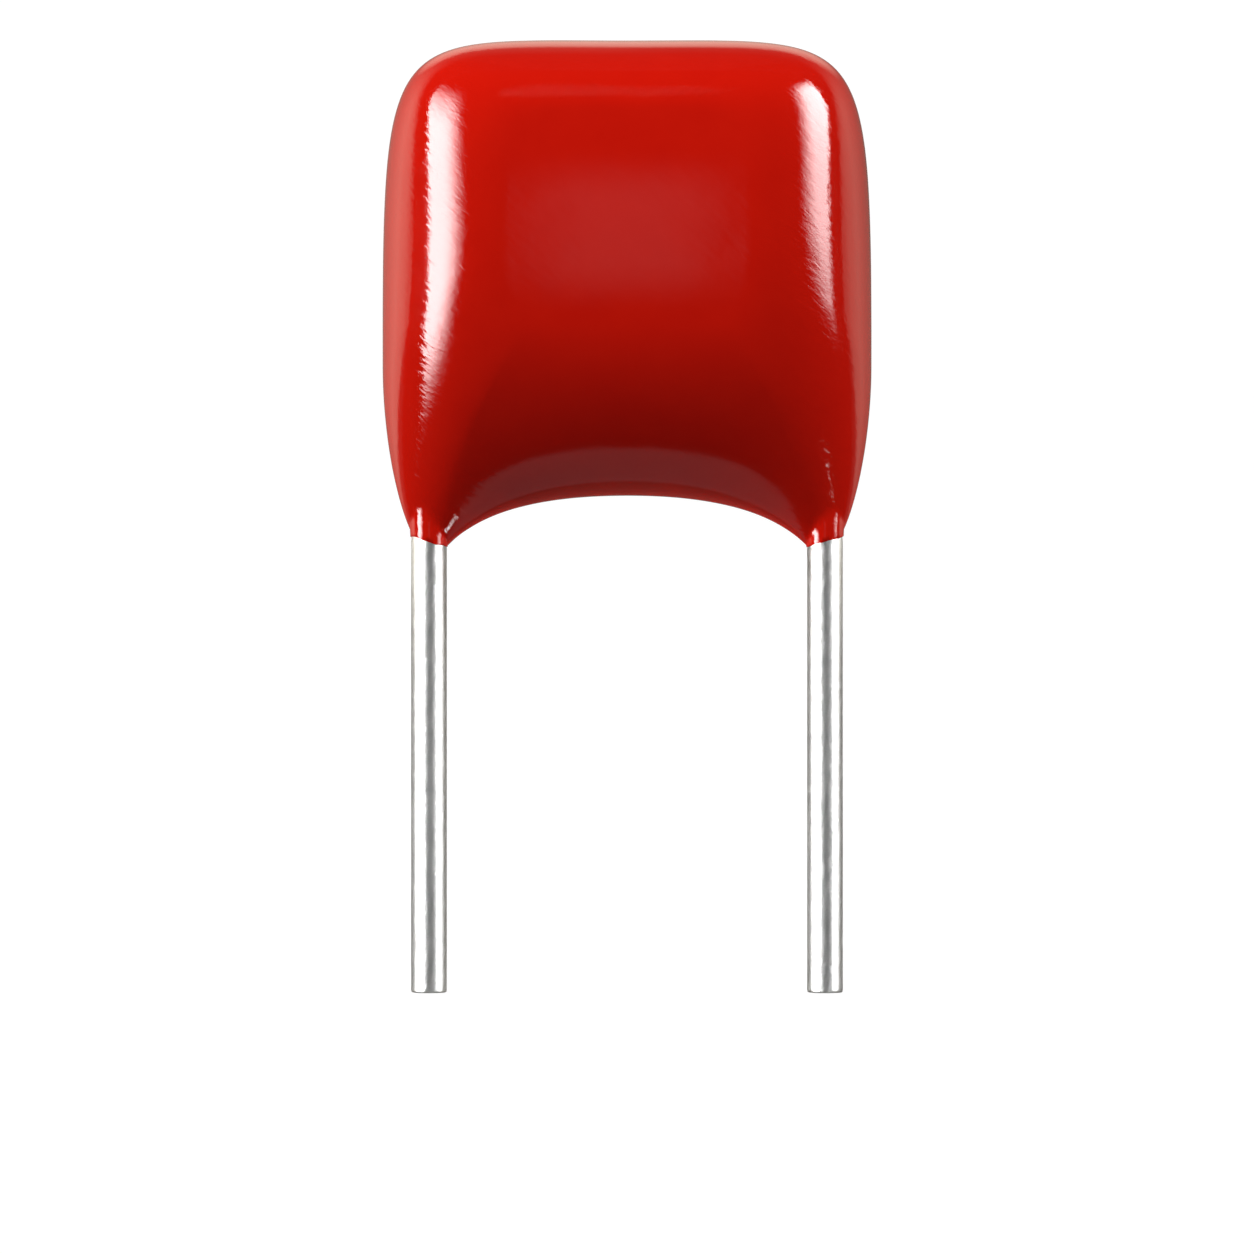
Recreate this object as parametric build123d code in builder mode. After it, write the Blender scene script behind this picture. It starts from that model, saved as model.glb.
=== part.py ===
# Radial dipped film capacitor with two straight leads, lying on its broad back face.
#
# X runs from lead to lead, Y from the cut ends of the leads up to the top of the body,
# and Z up from the surface that the back face rests on. The origin is at the middle of
# the footprint, on that surface. All sizes are in millimetres.
from build123d import *
import math
import os

# Leads
lead_pitch = 10.0
lead_diameter = 0.9
lead_exposed = 11.25  # bare wire below the lowest edge of the coat
lead_tip_bevel = 0.04
weld_depth = 0.15  # how far the wire is sunk into the sprayed metal
weld_setback = 1.9  # the weld stops this far below the top of the roll
weld_width = 1.1  # the wire is squeezed to this flat bar where it is welded
weld_height = 0.72
weld_bevel = 0.2
squeeze_below_coat = 0.2  # the wire starts to be squeezed this far outside the coat

# Flattened roll of metallised film, with sprayed metal on its two ends
roll_height = 9.5
roll_thickness = 3.6
roll_slit_width = 5.0  # left by the flat mandrel, along the axis of the roll
roll_slit_gap = 0.12
spray_thickness = 0.55
spray_margin = 0.12  # the spray stops this far inside the outline of the roll
spray_edge_bevel = 0.2

# Coat around the roll
side_cover = 0.73  # outside the leads
face_cover = 1.0  # in front of the roll and behind it
top_cover = 0.9
arch_cover = 1.1  # between the roll and the top of the arch
run_length = 1.15  # from the top of the arch down to where the coat ends on a lead
run_end_slope = 16.0  # degrees by which the end of the coat drops towards the middle

# How far in from the silhouette the flat of each broad face begins; the rounded edges
# between them are quarter ellipses
side_roll = 3.1
top_roll = 1.9
arch_roll = 3.5

# Runs down the leads. From mid-thickness to a broad face, the tip of each run climbs as a
# cone with a blunted ridge until it is level with the arch, its last share with the turn of
# the rounded edge, and draws in towards the middle as it climbs.
run_overshoot = 0.36  # the run would come to a point this far past its end
run_shoulder_share = 0.1
run_ridge_blunting = 0.35
run_tip_inset = 0.12  # the tip of a run lies this far inside the middle of its lead
run_draw_in = 0.25

# The coat's outline: its widest line as a share of the way up from the tip of a run, and
# the reach of the handles that bend the corner, the flank and the arch. Where two curves
# meet, their handles keep one ratio in every outline, so the skin lofts without ripples.
belt_share = 0.367
corner_handles = (0.99, 1.06)
flank_handles = (0.456, 0.534)
arch_handles = (0.583, 0.864)
arch_easing = 0.4  # the handle at the top of the arch moves in by this share towards a face
edge_steps = 5  # outlines from mid-thickness to a broad face, evenly turned

# Sizes that follow
lead_radius = lead_diameter / 2
lead_x = lead_pitch / 2
half_thickness = roll_thickness / 2 + face_cover
half_width = lead_x + lead_radius + side_cover
end_slope = math.tan(math.radians(run_end_slope))
coat_height = run_length + arch_cover + roll_height + top_cover
total_length = lead_exposed + end_slope * lead_radius + coat_height
tip_y = -total_length / 2
bare_end_y = tip_y + lead_exposed
coat_end_y = bare_end_y + end_slope * lead_radius
squeeze_start_y = bare_end_y - squeeze_below_coat
run_tip_y = coat_end_y - run_overshoot
arch_y = coat_end_y + run_length
roll_bottom_y = arch_y + arch_cover
roll_middle_y = roll_bottom_y + roll_height / 2
top_y = total_length / 2
spray_inner_x = lead_x - lead_radius + weld_depth - spray_thickness
middle_plane = Plane.XY.offset(half_thickness)
wire_plane = Plane((0, 0, half_thickness), x_dir=(1, 0, 0), z_dir=(0, 1, 0))


def squeezed_bar(x):
    """Section of a lead where it is squeezed and welded into the sprayed metal."""
    bar_x = math.copysign(abs(x) - lead_radius + weld_height / 2, x)
    with Locations((bar_x, 0)):
        bar = Rectangle(weld_height, weld_width)
    chamfer(bar.vertices(), length=weld_bevel)


def make_lead(x):
    """One lead at its place: round where it is bare, then squeezed inside the coat."""
    with BuildPart() as lead:
        with BuildSketch(wire_plane.offset(tip_y)):
            with Locations((x, 0)):
                Circle(lead_radius)
        extrude(amount=squeeze_start_y - tip_y)
        chamfer(lead.edges().sort_by(Axis.Y)[0], length=lead_tip_bevel)
        with BuildSketch(wire_plane.offset(squeeze_start_y)):
            with Locations((x, 0)):
                Circle(lead_radius)
        with BuildSketch(wire_plane.offset(roll_bottom_y)):
            squeezed_bar(x)
        loft()
        with BuildSketch(wire_plane.offset(roll_bottom_y)):
            squeezed_bar(x)
        extrude(amount=roll_height - weld_setback)
    return lead


lead_left = make_lead(-lead_x)
lead_right = make_lead(lead_x)


def roll_section(margin=0.0):
    """Flattened oval of the roll, looking along its axis, less a margin all round."""
    with Locations((roll_middle_y, half_thickness)):
        SlotOverall(roll_height - 2 * margin, roll_thickness - 2 * margin)


# Winding: film rolled on a flat mandrel, whose slit stays along the middle
with BuildPart() as film_winding:
    with BuildSketch(Plane.YZ.offset(-spray_inner_x)):
        roll_section()
        with Locations((roll_middle_y, half_thickness)):
            SlotOverall(roll_slit_width, roll_slit_gap, mode=Mode.SUBTRACT)
    extrude(amount=2 * spray_inner_x)


def make_spray(side, lead):
    """Sprayed metal on one end of the roll, side -1 or 1, with the groove of its lead."""
    with BuildPart() as spray:
        with BuildSketch(Plane.YZ.offset(side * spray_inner_x)):
            roll_section(spray_margin)
        extrude(amount=side * spray_thickness)
        outer_face = spray.faces().sort_by(Axis.X)[-1 if side > 0 else 0]
        chamfer(outer_face.edges(), length=spray_edge_bevel)
        add(lead.part, mode=Mode.SUBTRACT)
    return spray


end_spray_left = make_spray(-1, lead_left)
end_spray_right = make_spray(1, lead_right)


def half_outline(angle):
    """Right half of the coat's outline, rolled in from the widest one by an angle."""
    level = math.sin(angle)
    turn = 1 - math.cos(angle)
    high_y = top_y - top_roll * turn
    side_x = half_width - side_roll * turn
    ridge = math.hypot(level, run_ridge_blunting) - run_ridge_blunting
    full_ridge = math.hypot(1, run_ridge_blunting) - run_ridge_blunting
    climb = (1 - run_shoulder_share) * ridge / full_ridge + run_shoulder_share * turn
    run_x = (lead_x - run_tip_inset) * side_x / half_width * (1 - run_draw_in * turn)
    run_y = run_tip_y + climb * (arch_y + arch_roll - run_tip_y)
    apex_y = arch_y + arch_roll * turn
    belt_y = run_y + belt_share * (high_y - run_y)
    corner_x = corner_handles[0] * side_x
    corner_y = belt_y + corner_handles[1] * (high_y - belt_y)
    Bezier((0, high_y), (corner_x, high_y), (side_x, corner_y), (side_x, belt_y))
    flank_y = belt_y - flank_handles[0] * (belt_y - run_y)
    flank_x = run_x + flank_handles[1] * (side_x - run_x)
    Bezier((side_x, belt_y), (side_x, flank_y), (flank_x, run_y), (run_x, run_y))
    arch_start_x = run_x - arch_handles[0] * (flank_x - run_x)
    arch_end_x = run_x * (arch_handles[1] - arch_easing * turn)
    Bezier((run_x, run_y), (arch_start_x, run_y), (arch_end_x, apex_y), (0, apex_y))


# Coat: outlines stacked from the back face to the front one and lofted into one skin, its
# two runs cut off where they end on the leads, and the space of what it covers taken out
with BuildPart() as epoxy_coating:
    for step in range(-edge_steps, edge_steps + 1):
        angle = math.radians(90) * step / edge_steps
        with BuildSketch(middle_plane.offset(half_thickness * math.sin(angle))):
            with BuildLine():
                half_outline(angle)
                mirror(about=Plane.YZ)
            make_face()
    loft()
    outer_end_y = coat_end_y + end_slope * (half_width - lead_x)
    with BuildSketch(middle_plane):
        with BuildLine():
            Polyline(
                (-half_width, outer_end_y),
                (0, coat_end_y - end_slope * lead_x),
                (half_width, outer_end_y),
                (half_width, tip_y),
                (-half_width, tip_y),
                close=True,
            )
        make_face()
    extrude(amount=half_thickness, both=True, mode=Mode.SUBTRACT)
    with BuildSketch(Plane.YZ.offset(-spray_inner_x)):
        roll_section()
    extrude(amount=2 * spray_inner_x, mode=Mode.SUBTRACT)
    for covered in (end_spray_left, end_spray_right, lead_left, lead_right):
        add(covered.part, mode=Mode.SUBTRACT)

pieces = {
    "epoxy_coating": epoxy_coating,
    "film_winding": film_winding,
    "end_spray_left": end_spray_left,
    "end_spray_right": end_spray_right,
    "lead_left": lead_left,
    "lead_right": lead_right,
}
os.makedirs("parts", exist_ok=True)
for name, piece in pieces.items():
    piece.part.label = name
    export_step(piece.part, f"parts/{name}.step")
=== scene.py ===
# %% [markdown]
# A dipped film capacitor, lying on its broad back face
#
# The real part is a flat roll of metallised film with sprayed metal on its two ends and a
# tinned wire welded to each. The whole head was dipped in red epoxy, which ran a little way
# down the wires and hardened there with a high gloss. What we see is the coat and the two
# wires. Almost all of the look is in how a soft, slightly wavy gloss bends the reflections
# of a studio, so the coat's form comes first, then its finish, and then the lights.

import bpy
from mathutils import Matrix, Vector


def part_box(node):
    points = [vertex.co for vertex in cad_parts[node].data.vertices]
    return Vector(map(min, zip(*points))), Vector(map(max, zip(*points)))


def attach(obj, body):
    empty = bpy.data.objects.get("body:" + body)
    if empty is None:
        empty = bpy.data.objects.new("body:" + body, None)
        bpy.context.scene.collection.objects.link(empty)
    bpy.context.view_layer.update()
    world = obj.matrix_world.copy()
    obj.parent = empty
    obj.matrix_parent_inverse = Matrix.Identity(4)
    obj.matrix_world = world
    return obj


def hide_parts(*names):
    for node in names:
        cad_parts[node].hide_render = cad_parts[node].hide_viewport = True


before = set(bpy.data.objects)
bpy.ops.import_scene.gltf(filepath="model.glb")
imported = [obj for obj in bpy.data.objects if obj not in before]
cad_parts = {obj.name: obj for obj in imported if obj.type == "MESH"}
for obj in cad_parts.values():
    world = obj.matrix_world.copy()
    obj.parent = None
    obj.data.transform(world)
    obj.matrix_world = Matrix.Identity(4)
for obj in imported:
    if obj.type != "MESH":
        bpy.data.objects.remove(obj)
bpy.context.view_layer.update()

# %% Tools used all through
import math

import bmesh
import bpy
import numpy as np
from mathutils import Vector, noise

MM = 0.001  # Blender works in metres; the sizes below are written in millimetres

# %% [markdown]
# The main sizes
#
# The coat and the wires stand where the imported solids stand, so their places are read from
# the boxes of those solids and are never typed in a second time.

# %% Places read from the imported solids
coat_low, coat_high = (np.array(corner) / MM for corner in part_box("epoxy_coating"))
lead_low, lead_high = (np.array(corner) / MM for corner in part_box("lead_right"))
half_width = float(coat_high[0] - coat_low[0]) / 2
half_thickness = float(coat_high[2] - coat_low[2]) / 2
middle_z = float(coat_high[2] + coat_low[2]) / 2
top_y = float(coat_high[1])
lead_radius = float(lead_high[0] - lead_low[0]) / 2
lead_x = float(lead_high[0] + lead_low[0]) / 2
lead_tip_y = float(lead_low[1])
lead_end_y = float(lead_high[1])
print("coat", coat_low, coat_high, "lead radius", lead_radius, "at x", lead_x)

# %% [markdown]
# Camera
#
# The picture was taken straight from the front with a long lens. The part lies on its back
# here, so the camera looks straight down, with the top of the body towards the top of the
# picture. One pixel of the photograph is the pitch of the wires over their distance in it.

# %% Camera above the part
picture_size = 1254  # pixels each way
pitch_in_picture = 396.0  # pixels between the middles of the two wires
top_in_picture = 40.6  # the row in which the coat begins
lens_mm = 200.0
sensor_mm = 36.0
pixel = 2 * lead_x / pitch_in_picture


def picture_x(column):
    """Millimetres to the right of the part's middle for a column of the picture."""
    return (column - picture_size / 2) * pixel


def picture_y(row):
    """Height along Y, in millimetres, of a row of the picture."""
    return top_y - (row - top_in_picture) * pixel


camera_height = picture_size * pixel * lens_mm / sensor_mm
camera_data = bpy.data.cameras.new("camera")
camera_data.lens = lens_mm
camera_data.sensor_width = sensor_mm
camera_data.clip_start = 0.001
camera = bpy.data.objects.new("camera", camera_data)
camera.location = (0, picture_y(picture_size / 2) * MM, (middle_z + camera_height) * MM)
bpy.context.scene.collection.objects.link(camera)
bpy.context.scene.camera = camera
print("one pixel is", round(pixel, 5), "mm; the camera is", round(camera_height, 1), "mm up")

# %% [markdown]
# The form of the coat
#
# A dipped coat has no edges: surface tension rounds everything. It could be sculpted, or
# made from a box with a subdivision modifier, but then its outline would be a matter of
# luck. Here it is a stack of outlines from the back face to the front one. Each outline is
# three Bezier curves a side: the corner, the flank that draws in to the wire, and half of
# the arch between the wires. Going up the stack, the outline rolls inwards along a quarter
# of an ellipse.

# %% How the edges roll in
side_roll = 3.1  # how far in from the silhouette the flat of a face begins
top_roll = 1.9
arch_roll_back = 3.5
arch_roll_front = 4.2  # the front turns down towards the arch earlier than the back
run_length = 1.15  # from the top of the arch down to the coat's end on a wire
run_overshoot = 0.36  # past its end on the wire, the run would come to a point here
run_tip_inset = 0.12  # the tip lies this far inside the middle of its wire
ridge_blunting = 0.3  # how blunt the ridge of a run is, as a share of the thickness
shoulder_share = 0.6  # the share of the climb that follows the turn of the rounded edge
coat_end_y = picture_y(541.6)
end_slope = math.tan(math.radians(16))
arch_y = coat_end_y + run_length
run_tip_y = coat_end_y - run_overshoot


def climb_of_run(level, turn):
    """Share of the way up that the tip of a run has climbed, as a cone with a blunt ridge."""
    ridge = math.hypot(level, ridge_blunting) - ridge_blunting
    full_ridge = math.hypot(1, ridge_blunting) - ridge_blunting
    return (1 - shoulder_share) * ridge / full_ridge + shoulder_share * turn


# %% The outline of the coat
belt_share = 0.367  # the widest line, as a share of the way up
corner_reach = (0.99, 1.06)  # how far the handles of each curve reach
flank_reach = (0.456, 0.534)
arch_reach = (0.583, 0.864)
arch_easing = 0.4
steps_of_curves = (56, 48, 64)


def bezier(points, steps):
    """Points along a cubic Bezier curve, without the last one."""
    t = np.linspace(0, 1, steps, endpoint=False)[:, None]
    a, b, c, d = (np.array(point, float) for point in points)
    return (1 - t) ** 3 * a + 3 * (1 - t) ** 2 * t * b + 3 * (1 - t) * t**2 * c + t**3 * d


def outline(angle):
    """Closed outline of the coat, rolled in by an angle, clockwise from the top."""
    level, turn = math.sin(angle), 1 - math.cos(angle)
    arch_roll = arch_roll_front if angle > 0 else arch_roll_back
    high_y = top_y - top_roll * turn
    side_x = half_width - side_roll * turn
    run_x = (lead_x - run_tip_inset) * side_x / half_width
    run_y = run_tip_y + climb_of_run(level, turn) * (arch_y + arch_roll - run_tip_y)
    apex_y = arch_y + arch_roll * turn
    belt_y = run_y + belt_share * (high_y - run_y)
    corner_y = belt_y + corner_reach[1] * (high_y - belt_y)
    flank_y = belt_y - flank_reach[0] * (belt_y - run_y)
    flank_x = run_x + flank_reach[1] * (side_x - run_x)
    arch_start_x = run_x - arch_reach[0] * (flank_x - run_x)
    arch_end_x = run_x * (arch_reach[1] - arch_easing * turn)
    corner = [(0, high_y), (corner_reach[0] * side_x, high_y), (side_x, corner_y), (side_x, belt_y)]
    flank = [(side_x, belt_y), (side_x, flank_y), (flank_x, run_y), (run_x, run_y)]
    arch = [(run_x, run_y), (arch_start_x, run_y), (arch_end_x, apex_y), (0, apex_y)]
    curves = [bezier(curve, steps) for curve, steps in zip((corner, flank, arch), steps_of_curves)]
    right = np.vstack(curves + [np.array([[0, apex_y]])])
    left = right[-2:0:-1] * (-1, 1)
    return np.vstack([right, left])


print("points in one outline:", len(outline(0)))

# %% [markdown]
# Stacking the outlines
#
# The broad faces are not quite flat either: the front one is gently crowned, which is what
# makes its light fade from the top to the arch. The crown only ever lowers the surface, so
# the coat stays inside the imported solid's box. The back stays flat, because it rests on it.

# %% Points of the coat
turn_steps = 72  # outlines from the back face to the front one
cap_steps = 22  # rings from the edge of a flat face to its middle
crown_middle_y = picture_y(205)
crown_radius_x = 150.0
crown_radius_y = 21.0


def smooth_step(value, start, end):
    """0 before the start, 1 after the end, and a smooth curve between them."""
    share = np.clip((value - start) / (end - start), 0.0, 1.0)
    return share * share * (3 - 2 * share)


def crown(x, y, level):
    """How much the front surface is lowered, nothing at mid-thickness or below."""
    drop = x**2 / (2 * crown_radius_x) + (y - crown_middle_y) ** 2 / (2 * crown_radius_y)
    return -max(level, 0.0) * drop


def coat_rings():
    """Rings of points from the middle of the back face round the edge to the front."""
    rings = []
    quarter = math.pi / 2
    back, front = outline(-quarter), outline(quarter)
    middle = np.array([0, (front[:, 1].max() + front[:, 1].min()) / 2])
    shares = [(step / cap_steps) for step in range(1, cap_steps)]
    for share in shares:
        rings.append((middle + share * (back - middle), -1.0))
    for angle in np.linspace(-quarter, quarter, turn_steps + 1):
        rings.append((outline(angle), math.sin(angle)))
    for share in reversed(shares):
        rings.append((middle + share * (front - middle), 1.0))
    points = []
    for flat, level in rings:
        x, y = flat[:, 0], flat[:, 1]
        z = middle_z + half_thickness * level + crown(x, y, level)
        points.append(np.column_stack([x, y, z]))
    return points, middle


rings, face_middle = coat_rings()
highest_z = max(ring[:, 2].max() for ring in rings)
print("rings:", len(rings), "of", len(rings[0]), "points, up to z", round(highest_z, 3))

# %% [markdown]
# Waves of the dip
#
# Epoxy sags and shrinks a little as it hardens, so the surface has slow waves a few
# millimetres long and smaller ones below a millimetre. They are moved into the mesh itself,
# because they bend the outlines of the reflections; only finer wrinkles are left to bump.

# %% Slow waves, moved into the mesh
wave_kinds = ((3.4, 0.003), (1.2, 0.0014), (0.55, 0.0006))  # length and height, millimetres
wave_allowance = 0.008  # the surface is set back by this, so the waves stay in the box
calm_below_z = 0.02  # the back face rests here, so the waves fade out towards it
calm_depth = 1.2


def wave_height(point):
    """Height of the surface's waves at a point, in millimetres."""
    total = 0.0
    for number, (length, height) in enumerate(wave_kinds):
        place = Vector((point[0] / length, point[1] / length, point[2] / length + 7.3 * number))
        total += height * noise.noise(place)
    return total


# %% A mesh object from points and faces
def new_object(name, points, faces):
    """A smooth-shaded mesh object; the points are in millimetres."""
    mesh = bpy.data.meshes.new(name)
    mesh.from_pydata([tuple(p) for p in np.asarray(points) * MM], [], faces)
    mesh.update()
    obj = bpy.data.objects.new(name, mesh)
    bpy.context.scene.collection.objects.link(obj)
    mesh.polygons.foreach_set("use_smooth", [True] * len(mesh.polygons))
    return obj


def ring_faces(ring_count, ring_size):
    """Quads between rings that follow each other in a list of points."""
    faces = []
    for ring in range(ring_count - 1):
        for step in range(ring_size):
            a = ring * ring_size + step
            b = ring * ring_size + (step + 1) % ring_size
            faces.append((a, a + ring_size, b + ring_size, b))
    return faces


# %% The coat, before its ends are cut
ring_size = len(rings[0])
points = np.vstack(rings)
faces = ring_faces(len(rings), ring_size)
back_pole, front_pole = len(points), len(points) + 1
pole_x, pole_y = face_middle
poles = [
    (pole_x, pole_y, middle_z - half_thickness),
    (pole_x, pole_y, middle_z + half_thickness + crown(pole_x, pole_y, 1.0)),
]
points = np.vstack([points, poles])
last_ring = (len(rings) - 1) * ring_size
for step in range(ring_size):
    after = (step + 1) % ring_size
    faces.append((back_pole, step, after))
    faces.append((front_pole, last_ring + after, last_ring + step))
coat = new_object("coat", points, faces)
print("coat:", len(coat.data.vertices), "points,", len(coat.data.polygons), "faces")

# %% [markdown]
# Where the coat ends on the wires
#
# The epoxy feathers out on each wire in a crisp, slightly crooked line, and on the inner
# side a small lip hangs from the arch. The mesh is cut there by a sloping plane, pushed out
# to a thin sleeve round the wire, and its open end is turned in to the wire's surface.

# %% Keep a thin sleeve of coat round each wire
sleeve_thickness = 0.022
sleeve_top_y = coat_end_y + 1.6
sleeve_gain = 0.02  # the sleeve grows thicker by this over the height below
sleeve_gain_height = 0.7


def add_waves_and_sleeves(obj):
    """Move the points by the waves, and out from the wires where the coat is thin."""
    mesh = obj.data
    moves = []
    for vertex in mesh.vertices:
        point = np.array(vertex.co) / MM
        normal = np.array(vertex.normal)
        above_floor = min(1.0, max(0.0, (point[2] - calm_below_z) / calm_depth))
        point = point + normal * (wave_height(point) - wave_allowance) * above_floor
        side = math.copysign(1, point[0])
        across, up = point[0] - side * lead_x, point[2] - middle_z
        distance = math.hypot(across, up)
        grown = float(smooth_step(point[1], coat_end_y, coat_end_y + sleeve_gain_height))
        least = lead_radius + sleeve_thickness + sleeve_gain * grown
        if point[1] < sleeve_top_y and 0.05 < distance < least:
            point[0] = side * lead_x + across * least / distance
            point[2] = middle_z + up * least / distance
        moves.append(point)
    for vertex, point in zip(mesh.vertices, moves):
        vertex.co = Vector(point * MM)
    mesh.update()


add_waves_and_sleeves(coat)

# %% Cut the ends and turn their edges in to the wires
edge_ripples = {-1: ((9.0, 0.5, 0.018), (23.0, 2.1, 0.008)), 1: ((7.0, 3.0, 0.012), (19.0, 0.4, 0.006))}
lip_rings = ((0.010, -0.006), (0.030, -0.004), (0.075, 0.030))  # inwards and along Y, millimetres


def cut_end(bm, side):
    """Cut the coat below its end on one wire and turn the new edge inwards."""
    near = [v for v in bm.verts if side * v.co.x > 3 * MM and v.co.y < 1.5 * MM]
    nearby = set(near)
    edges = [e for e in bm.edges if e.verts[0] in nearby and e.verts[1] in nearby]
    patches = [f for f in bm.faces if all(v in nearby for v in f.verts)]
    geometry = near + edges + patches
    downwards = Vector((side * end_slope, -1, 0)).normalized()
    start = Vector((side * lead_x, coat_end_y, middle_z)) * MM
    bmesh.ops.bisect_plane(bm, geom=geometry, plane_co=start, plane_no=downwards, clear_outer=True)
    rim = [e for e in bm.edges if e.is_boundary and side * e.verts[0].co.x > 0]
    axis = Vector((side * lead_x * MM, 0, middle_z * MM))
    for inwards, along in lip_rings:
        made = bmesh.ops.extrude_edge_only(bm, edges=rim)["geom"]
        rim = [item for item in made if isinstance(item, bmesh.types.BMEdge)]
        for vertex in {v for e in rim for v in e.verts}:
            out = Vector((vertex.co.x - axis.x, 0, vertex.co.z - axis.z))
            distance = max(out.length - inwards * MM, (lead_radius - 0.03) * MM)
            place = axis + out.normalized() * distance
            vertex.co = Vector((place.x, vertex.co.y + along * MM, place.z))


def ripple_end(bm, side):
    """Make the coat's end on one wire a little crooked."""
    for vertex in bm.verts:
        x, y = vertex.co.x / MM - side * lead_x, vertex.co.y / MM
        if side * vertex.co.x < 0 or y > coat_end_y + 0.6 or abs(x) > 1.0:
            continue
        angle = math.atan2(vertex.co.z / MM - middle_z, x)
        height = sum(size * math.sin(rate * angle / 3 + phase) for rate, phase, size in edge_ripples[side])
        share = math.exp(-(((y - coat_end_y) / 0.22) ** 2))
        vertex.co.y += height * share * MM


work = bmesh.new()
work.from_mesh(coat.data)
for side in (-1, 1):
    cut_end(work, side)
    ripple_end(work, side)
bmesh.ops.recalc_face_normals(work, faces=work.faces)
for face in work.faces:
    face.smooth = True
work.to_mesh(coat.data)
work.free()
print("coat after cutting:", len(coat.data.polygons), "faces")
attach(coat, "root")
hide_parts("epoxy_coating")

# %% [markdown]
# The wires
#
# Each wire is drawn copper-clad steel with a thin skin of tin. Cutting rounds the rim of
# its end a little. Inside the coat it is squeezed flat where it is welded, as in the packed
# solid, so the mesh goes on in there with the same sections.

# %% The wires as tubes of rings
wire_sides = 72
tip_round = 0.05
bar_width, bar_height = 1.1, 0.72
weld_start_y = picture_y(452.5)


def wire_section(y, side):
    """Ring of points of a wire at a height: round, or squeezed inside the coat."""
    share = min(1.0, max(0.0, (y - coat_end_y) / (weld_start_y - coat_end_y)))
    radius_x = lead_radius + share * (bar_height / 2 - lead_radius)
    radius_z = lead_radius + share**2 * (bar_width / 2 - lead_radius)
    middle_x = side * (lead_x - lead_radius + radius_x)
    if share == 0:
        middle_x = side * lead_x
    angles = np.linspace(0, 2 * math.pi, wire_sides, endpoint=False)
    x, z = middle_x + radius_x * np.cos(angles), middle_z + radius_z * np.sin(angles)
    return np.column_stack([x, np.full(wire_sides, y), z])


def make_wire(name, side):
    """One wire, closed at both ends, with a rounded rim on the bare one."""
    sections = []
    for share in (0.0, 0.35, 0.7, 0.9):
        ring = wire_section(lead_tip_y, side)
        middle = np.array([side * lead_x, lead_tip_y, middle_z])
        sections.append(middle + (ring - middle) * max(0.001, share * (1 - tip_round / lead_radius)))
    for step in range(5):
        angle = step / 4 * math.pi / 2
        ring = wire_section(lead_tip_y, side)
        middle = np.array([side * lead_x, lead_tip_y, middle_z])
        ring = middle + (ring - middle) * (1 - tip_round / lead_radius * (1 - math.sin(angle)))
        ring[:, 1] += tip_round * (1 - math.cos(angle))
        sections.append(ring)
    heights = list(np.linspace(lead_tip_y + 0.12, coat_end_y, 90))
    heights += list(np.linspace(coat_end_y + 0.2, weld_start_y, 8))
    for y in heights + [weld_start_y + 1.0, lead_end_y - 0.02, lead_end_y]:
        sections.append(wire_section(y, side))
    last = sections[-1]
    sections.append(last.mean(axis=0) + (last - last.mean(axis=0)) * 0.001)
    faces = ring_faces(len(sections), wire_sides)
    wire = new_object(name, np.vstack(sections), faces)
    return wire


wires = {}
for side, node in ((-1, "lead_left"), (1, "lead_right")):
    name = node.replace("lead", "wire")
    wire = make_wire(name, side)
    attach(wire, "root")
    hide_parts(node)
    wires[name] = wire
print("wires:", {name: len(wire.data.polygons) for name, wire in wires.items()})

# %% [markdown]
# Writing materials as sums
#
# Shader nodes are quick to click and slow to read. This small class wraps one output of a
# node, so that the usual operators add Math or Vector Math nodes, and a finish can be
# written as a line of arithmetic. Colours are blended by Mix nodes, because a Math node
# would turn them grey.


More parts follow.
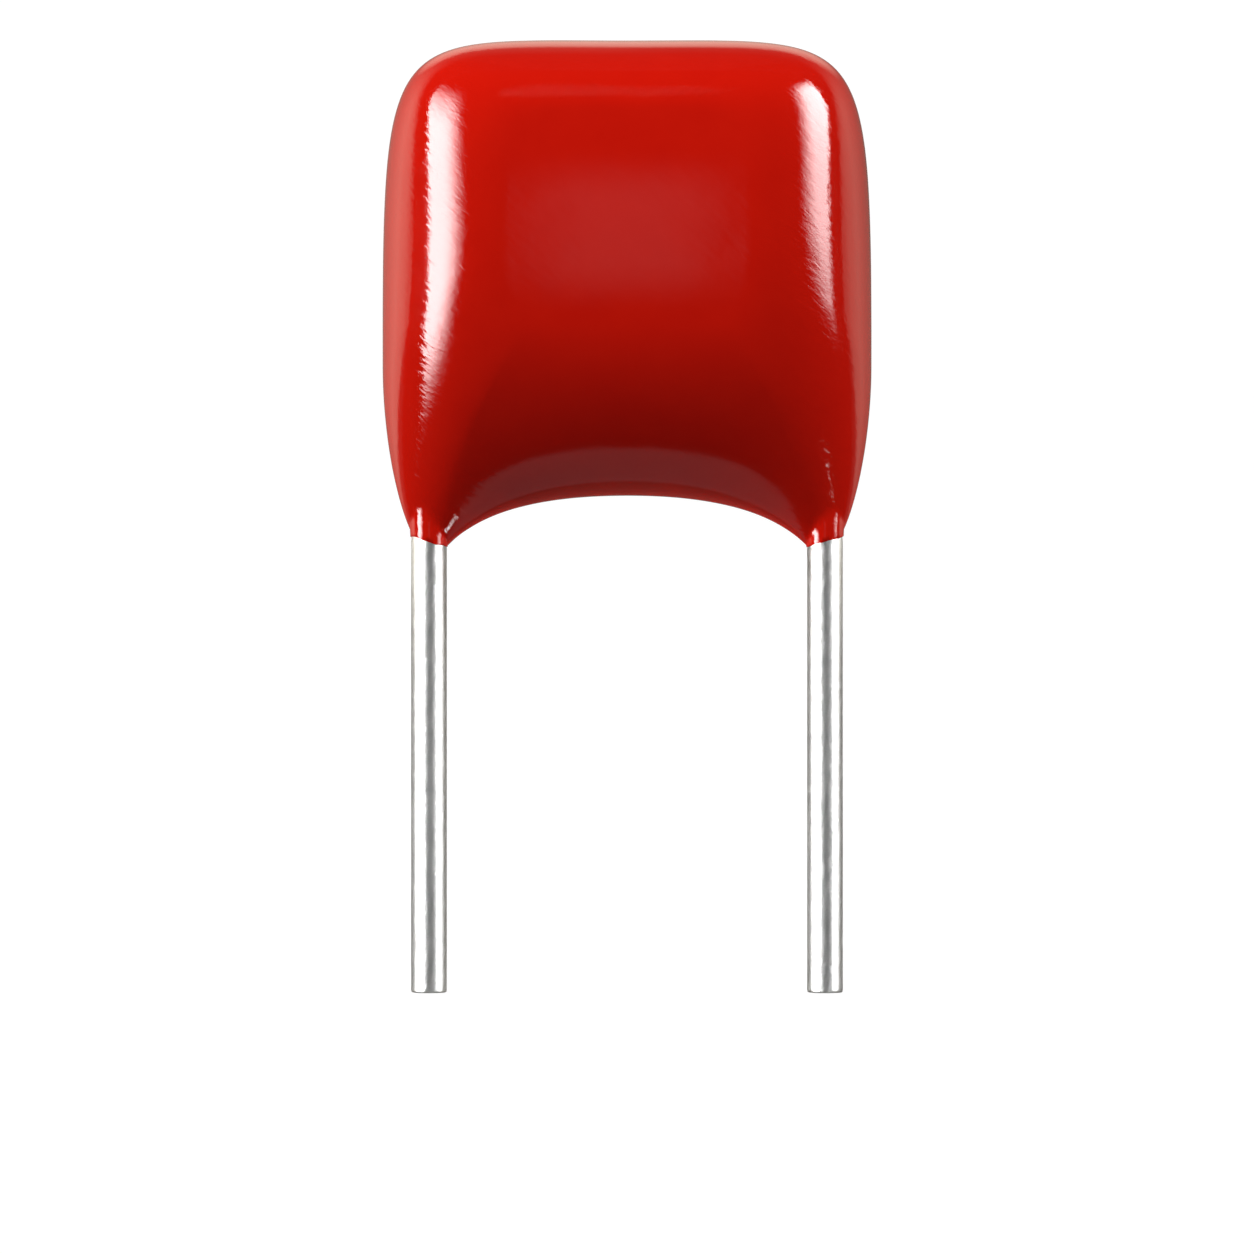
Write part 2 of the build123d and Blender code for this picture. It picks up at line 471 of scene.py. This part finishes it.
# %% A socket that Python's operators work on
class Field:
    """One output of a node. Operators on it add the nodes that work them out."""

    def __init__(self, tree, socket):
        self.tree = tree
        self.socket = socket

    def node(self, kind, settings=None, inputs=None, output=0):
        """Any node: its settings are set first, and then its inputs, by name or number."""
        made = self.tree.nodes.new(kind)
        for name, value in (settings or {}).items():
            setattr(made, name, value)
        for key, value in (inputs or {}).items():
            if isinstance(value, Field):
                self.tree.links.new(value.socket, made.inputs[key])
            else:
                made.inputs[key].default_value = value
        return Field(self.tree, made.outputs[output])

    def is_number(self):
        return self.socket.type == "VALUE"

    def work(self, operation, first, second=None):
        """A Math node on numbers, or a Vector Math node on vectors."""
        kind = "ShaderNodeMath" if self.is_number() else "ShaderNodeVectorMath"
        if kind == "ShaderNodeVectorMath" and operation == "MULTIPLY" and isinstance(second, (int, float)):
            return self.node(kind, {"operation": "SCALE"}, {0: first, "Scale": second})
        inputs = {0: first} if second is None else {0: first, 1: second}
        return self.node(kind, {"operation": operation}, inputs)

    def __add__(self, other):
        return self.work("ADD", self, other)

    __radd__ = __add__

    def __sub__(self, other):
        return self.work("SUBTRACT", self, other)

    def __rsub__(self, other):
        return self.work("SUBTRACT", other, self)

    def __mul__(self, other):
        return self.work("MULTIPLY", self, other)

    __rmul__ = __mul__

    def __truediv__(self, other):
        return self.work("DIVIDE", self, other)

    def __pow__(self, other):
        return self.work("POWER", self, other)

    def larger(self, other):
        return self.work("MAXIMUM", self, other)

    def smaller(self, other):
        return self.work("MINIMUM", self, other)

    def size(self):
        return self.work("ABSOLUTE", self)

    def bearing(self, ahead):
        """Angle in degrees towards this side, away from what lies ahead."""
        return self.work("ARCTAN2", self, ahead) * math.degrees(1)

    def ramp(self, start, end, low=0.0, high=1.0):
        """Smooth step from low to high as this number goes from start to end."""
        settings = {"interpolation_type": "SMOOTHSTEP", "clamp": True}
        inputs = {"Value": self, "From Min": start, "From Max": end, "To Min": low, "To Max": high}
        return self.node("ShaderNodeMapRange", settings, inputs)

    def blend(self, first, second):
        """Mix of two colours, by this number."""
        made = self.tree.nodes.new("ShaderNodeMix")
        made.data_type = "RGBA"
        for key, value in (("Factor_Float", self), ("A_Color", first), ("B_Color", second)):
            socket = next(s for s in made.inputs if s.identifier == key)
            if isinstance(value, Field):
                self.tree.links.new(value.socket, socket)
            else:
                socket.default_value = value
        result = next(s for s in made.outputs if s.identifier == "Result_Color")
        return Field(self.tree, result)

    def part(self, axis):
        """X, Y or Z of this vector."""
        return self.node("ShaderNodeSeparateXYZ", None, {0: self}, "XYZ".index(axis))

    def noise(self, scale, detail=2.0, roughness=0.5, distortion=0.0):
        """Noise texture read at this vector, from 0 to 1."""
        inputs = {"Vector": self, "Scale": scale, "Detail": detail}
        inputs.update({"Roughness": roughness, "Distortion": distortion})
        return self.node("ShaderNodeTexNoise", {"normalize": True}, inputs)

    def turned(self, rotation, scale):
        """This vector, turned and scaled by a Mapping node."""
        inputs = {"Vector": self, "Rotation": rotation, "Scale": scale}
        return self.node("ShaderNodeMapping", {"vector_type": "TEXTURE"}, inputs)


# %% Starting a material
def new_material(name):
    """A material, its main shader, and the place on the object in millimetres."""
    material = bpy.data.materials.new(name)
    material.use_nodes = True
    tree = material.node_tree
    shader = tree.nodes["Principled BSDF"]
    start = Field(tree, None)
    place = start.node("ShaderNodeTexCoord", None, None, "Object") * (1 / MM)
    return material, shader, place


def plug(field, shader, socket):
    """Link a field to one of a shader's inputs."""
    field.tree.links.new(field.socket, shader.inputs[socket])


# %% [markdown]
# Red epoxy
#
# Cured epoxy with a strong red pigment looks like lacquer: a deep saturated body colour
# under a clear skin. The colour hardly varies. What tells it from plastic is the skin, with
# fine diagonal wrinkles that show where a bright reflection ends. They are strongest on
# the flanks, where the two white streaks lie, and weak in the middle of the face.

# %% Red epoxy
epoxy, shader, place = new_material("red_epoxy")
mottle = place.noise(0.9, 3.0, 0.6)
red = mottle.blend((0.60, 0.006, 0.0012, 1), (0.66, 0.0085, 0.0018, 1))
plug(red, shader, "Base Color")
skin = place.noise(2.2, 3.0, 0.55)
plug(skin.ramp(0.3, 0.75, 0.055, 0.085), shader, "Roughness")
shader.inputs["IOR"].default_value = 1.5
wrinkle_place = place.turned((0, 0, math.radians(-38)), (0.55, 0.14, 0.3))
wrinkles = wrinkle_place.noise(1.0, 3.0, 0.55, 0.6)
grain = place.noise(7.5, 2.0, 0.5)
at_flanks = place.part("X").size().ramp(2.6, 4.2, 0.2, 1.0)
height = (wrinkles * 0.8 + grain * 0.2) * at_flanks
bump = height.node("ShaderNodeBump", None, {"Strength": 1.0, "Distance": 0.007 * MM, "Height": height})
plug(bump, shader, "Normal")
coat.data.materials.append(epoxy)
print("red epoxy:", len(epoxy.node_tree.nodes), "nodes")

# %% [markdown]
# Tinned wire
#
# Hot tin freezes with a fine, slightly ragged surface. From a step away the wire shows two
# bright bands and a darker middle, and close up the edges of those bands are torn by tiny
# slanting dents. So the wire is a softly blurred mirror with a small, sharp bump.

# %% Tinned wire
tin, shader, place = new_material("tinned_wire")
shader.inputs["Metallic"].default_value = 1.0
patches = place.noise(1.4, 3.0, 0.6)
plug(patches.blend((0.66, 0.66, 0.655, 1), (0.78, 0.78, 0.77, 1)), shader, "Base Color")
plug(place.noise(5.0, 2.0, 0.5).ramp(0.3, 0.7, 0.36, 0.42), shader, "Roughness")
slanted = place.turned((0, math.radians(20), math.radians(35)), (0.16, 0.07, 0.1))
dents = slanted.noise(1.0, 3.0, 0.6, 0.4)
height = dents + place.noise(22.0, 2.0, 0.5) * 0.35
bump = height.node("ShaderNodeBump", None, {"Strength": 1.0, "Distance": 0.012 * MM, "Height": height})
plug(bump, shader, "Normal")
for wire in wires.values():
    wire.data.materials.append(tin)
print("tinned wire:", len(tin.node_tree.nodes), "nodes")

# %% [markdown]
# What the coat hides
#
# The roll and the sprayed ends are never seen, but the model comes apart, so they get
# their finish too: film wound in hair-thin layers, and metal sprayed on as coarse grains.

# %% Film and sprayed metal
film, shader, place = new_material("metallised_film")
shader.inputs["Metallic"].default_value = 0.8
depth = place.part("Z") * 40.0 + place.noise(1.5) * 2.0
layers = depth.work("SINE", depth)
plug(layers.ramp(-1, 1).blend((0.55, 0.56, 0.60, 1), (0.68, 0.69, 0.72, 1)), shader, "Base Color")
plug(place.noise(6.0).ramp(0.3, 0.7, 0.18, 0.3), shader, "Roughness")

zinc, shader, place = new_material("sprayed_metal")
shader.inputs["Metallic"].default_value = 1.0
grains = place.node("ShaderNodeTexVoronoi", {"feature": "F1"}, {"Vector": place, "Scale": 9.0})
plug(grains.ramp(0.0, 0.8).blend((0.55, 0.55, 0.54, 1), (0.36, 0.36, 0.37, 1)), shader, "Base Color")
shader.inputs["Roughness"].default_value = 0.62
bump = grains.node("ShaderNodeBump", None, {"Strength": 1.0, "Distance": 0.03 * MM, "Height": grains})
plug(bump, shader, "Normal")

for node, material in (("film_winding", film), ("end_spray_left", zinc), ("end_spray_right", zinc)):
    inner = bpy.data.objects[node]
    inner.data.materials.clear()
    inner.data.materials.append(material)
print("inner pieces have their finishes")

# %% [markdown]
# Floor and world
#
# The picture's ground is pure white and has no horizon. The floor is white to the camera
# because it glows at full white there, and its own cloth is nearly black. What the gloss
# sees of it is a separate glow: dark close to the body, where the body shades it, and
# bright further out to both sides. A third glow, below the arch, is seen only by light that
# a matt surface scatters, and lifts the shade along the arch.

# %% Floor
floor_size = 3000.0
floor = new_object(
    "floor",
    [(sx * floor_size, sy * floor_size, -0.001) for sx, sy in ((-1, -1), (1, -1), (1, 1), (-1, 1))],
    [(0, 1, 2, 3)],
)
ground = bpy.data.materials.new("floor")
ground.use_nodes = True
tree = ground.node_tree
tree.nodes.clear()
start = Field(tree, None)
world_place = start.node("ShaderNodeNewGeometry", None, None, "Position") * (1 / MM)
x, y = world_place.part("X"), world_place.part("Y")
beside = (x.size() - half_width).larger(0.0)
above = (y - top_y).larger(0.0)
below = (arch_y - y).larger(0.0)
in_line = beside.ramp(0.0, 3.0, 1.0, 0.0)
side_glow = beside.ramp(0.0, 9.0, 0.26, 1.75) * beside.ramp(14.0, 50.0, 1.0, 0.6)
side_glow = side_glow * x.ramp(-1.0, 1.0, 1.0, 0.62) * y.ramp(-3.5, -0.3, 0.15, 1.0)
side_glow = side_glow * above.ramp(0.5, 9.0, 1.0, 0.0)
top_glow = above.ramp(0.0, 2.0, 0.15, 1.1) * above.ramp(2.8, 4.2, 1.0, 0.02) * in_line
low_glow = below.ramp(1.0, 6.0, 0.01, 0.12) * below.ramp(8.0, 30.0, 1.0, 0.3) * in_line
mirrored_glow = side_glow.larger(top_glow).larger(low_glow)
bounced_glow = below.ramp(0.0, 3.0, 0.0, 2.2) * below.ramp(8.0, 16.0, 1.0, 0.0)
camera_glow, cloth_grey = 1.0, (0.04, 0.04, 0.04, 1)
white, warm = (1, 1, 1, 1), (1.0, 0.93, 0.76, 1)
seen = start.node("ShaderNodeLightPath", None, None, "Is Camera Ray")
mirrored = start.node("ShaderNodeLightPath", None, None, "Is Glossy Ray")
bounced = start.node("ShaderNodeLightPath", None, None, "Is Diffuse Ray")
strength = seen * camera_glow + mirrored * mirrored_glow + bounced * bounced_glow
glow = start.node("ShaderNodeEmission", None, {"Color": mirrored.blend(white, warm), "Strength": strength})
cloth = start.node("ShaderNodeBsdfDiffuse", None, {"Color": cloth_grey})
both = start.node("ShaderNodeAddShader", None, {0: glow, 1: cloth})
output = tree.nodes.new("ShaderNodeOutputMaterial")
tree.links.new(both.socket, output.inputs["Surface"])
floor.data.materials.append(ground)

# %% World
world = bpy.data.worlds.new("world")
bpy.context.scene.world = world
world.use_nodes = True
tree = world.node_tree
tree.nodes.clear()
start = Field(tree, None)
seen = start.node("ShaderNodeLightPath", None, None, "Is Camera Ray")
mirrored = start.node("ShaderNodeLightPath", None, None, "Is Glossy Ray")
strength = seen * 1.0 + mirrored * 0.02
sky = start.node("ShaderNodeBackground", None, {"Color": (1, 1, 1, 1), "Strength": strength})
output = tree.nodes.new("ShaderNodeOutputWorld")
tree.links.new(sky.socket, output.inputs["Surface"])

# %% [markdown]
# Lights
#
# The soft light comes from above the top of the body, with a weaker lamp at each side.
# These lamps only light surfaces. What the gloss mirrors is a tent of light round the part,
# which works out how bright it is from the direction in which it lies: a tall box at each
# side makes the two white streaks, a small panel overhead and a low wall below the arch
# lift the middle of the face and the band along the arch, two small spots make the gleams
# on the runs, and the rest is almost black.


# %% Soft lamps
def direction(tilt_x, tilt_y):
    """Unit vector leaning from straight up by these degrees towards +X and +Y."""
    across, along = math.tan(math.radians(tilt_x)), math.tan(math.radians(tilt_y))
    return Vector((across, along, 1)).normalized()


target = Vector((0, 5.5, middle_z)) * MM


def soft_lamp(name, towards, level, size_mm, away_mm=420.0):
    """Area lamp that lights a facing surface to the level at which colours render as written."""
    data = bpy.data.lights.new(name, "AREA")
    data.shape = "DISK"
    data.size = size_mm * MM
    data.energy = level * math.pi**2 * (away_mm * MM) ** 2
    lamp = bpy.data.objects.new(name, data)
    lamp.location = target + towards * away_mm * MM
    lamp.rotation_euler = (-towards).to_track_quat("-Z", "Y").to_euler()
    lamp.visible_glossy = False
    lamp.visible_camera = False
    bpy.context.scene.collection.objects.link(lamp)
    return lamp


lamp_size = 160
soft_lamp("key", direction(-6, 53), 0.95, lamp_size)
soft_lamp("wash_left", direction(-78, 8), 0.66, lamp_size)
soft_lamp("wash_right", direction(78, 8), 0.42, lamp_size)


# %% The tent that only the gloss sees
tent_radius = 400.0
sphere = bmesh.new()
bmesh.ops.create_uvsphere(sphere, u_segments=96, v_segments=48, radius=tent_radius * MM)
tent_mesh = bpy.data.meshes.new("light_tent")
sphere.to_mesh(tent_mesh)
sphere.free()
tent = bpy.data.objects.new("light_tent", tent_mesh)
tent.location = target
bpy.context.scene.collection.objects.link(tent)
tent.visible_camera = False
tent.visible_diffuse = False
tent.visible_shadow = False

# %% How bright each direction of the tent is
cloth = bpy.data.materials.new("light_tent")
cloth.use_nodes = True
tree = cloth.node_tree
tree.nodes.clear()
start = Field(tree, None)
place = start.node("ShaderNodeTexCoord", None, None, "Object") * (1 / (tent_radius * MM))
across, along, up = place.part("X"), place.part("Y"), place.part("Z")
side = across.bearing(up)  # degrees, 0 overhead and 90 level with the part on the right
lift = along.bearing((1 - along * along).larger(0.0) ** 0.5)  # 90 past the top of the part

# The left box: its inner edge is soft, its outer one crisp and drawn in at both ends
left = side * -1
box_level, panel_level, wall_level, spot_level, dark_level = 21.5, 0.33, 0.32, 18, 0.03
left_inner = lift.size() * 0.4 + 34.5
left_outer = lift.larger(0.0) * 0.45 + (lift - 7).larger(0.0) * 0.25 + (lift + 8).smaller(0.0) * 0.5 + 69.7
left_box = left.ramp(left_inner, left_inner + 20) * left.ramp(left_outer - 1, left_outer + 1, 1.0, 0.0)
left_box = left_box * lift.ramp(-26.5, -12) * lift.ramp(49, 18, 0.0, 1.0) * box_level

# The right box is fainter, and fades towards its lower end
right_inner = (lift - 3).larger(0.0) * 0.25 - (lift - 3).smaller(0.0) + 46
right_outer = lift.larger(5.5) * 0.66 + 71
right_box = side.ramp(right_inner, right_inner + 19) * side.ramp(right_outer - 1, right_outer + 4, 1.0, 0.0)
right_box = right_box * lift.ramp(-4, 30, 11.5, 20) * lift.ramp(-11, 2.5) * lift.ramp(54, 42, 0.0, 1.0)

panel = side.size().ramp(4.2, 1.2, 0.0, 1.0) * (lift + 0.8).size().ramp(12, 4, 0.0, 1.0) * panel_level
low_wall = (lift - side.size() * 0.17).ramp(-64.8, -67.6, 0.0, 1.0) * wall_level


def small_spot(middle_side, middle_lift, half_wide, half_tall):
    """A soft round patch of the tent, for the two small gleams on the runs."""
    wide = (side - middle_side) * (1 / half_wide)
    tall = (lift - middle_lift) * (1 / half_tall)
    return (wide * wide + tall * tall).ramp(1.0, 0.3, 0.0, 1.0) * spot_level


gleams = small_spot(44, -53.5, 8, 2.6).larger(small_spot(55, -34.2, 2.4, 0.5))
strength = left_box.larger(right_box).larger(panel).larger(low_wall).larger(gleams) + dark_level
glow = start.node("ShaderNodeEmission", None, {"Strength": strength})
output = tree.nodes.new("ShaderNodeOutputMaterial")
tree.links.new(glow.socket, output.inputs["Surface"])
tent_mesh.materials.append(cloth)
print("lights and tent are set")

# %% [markdown]
# Finishing
#
# The picture keeps Blender's plain view transform, so a colour that is written in a
# material is the colour that shows where the light is plain.

# %% View settings
bpy.context.scene.view_settings.view_transform = "Standard"
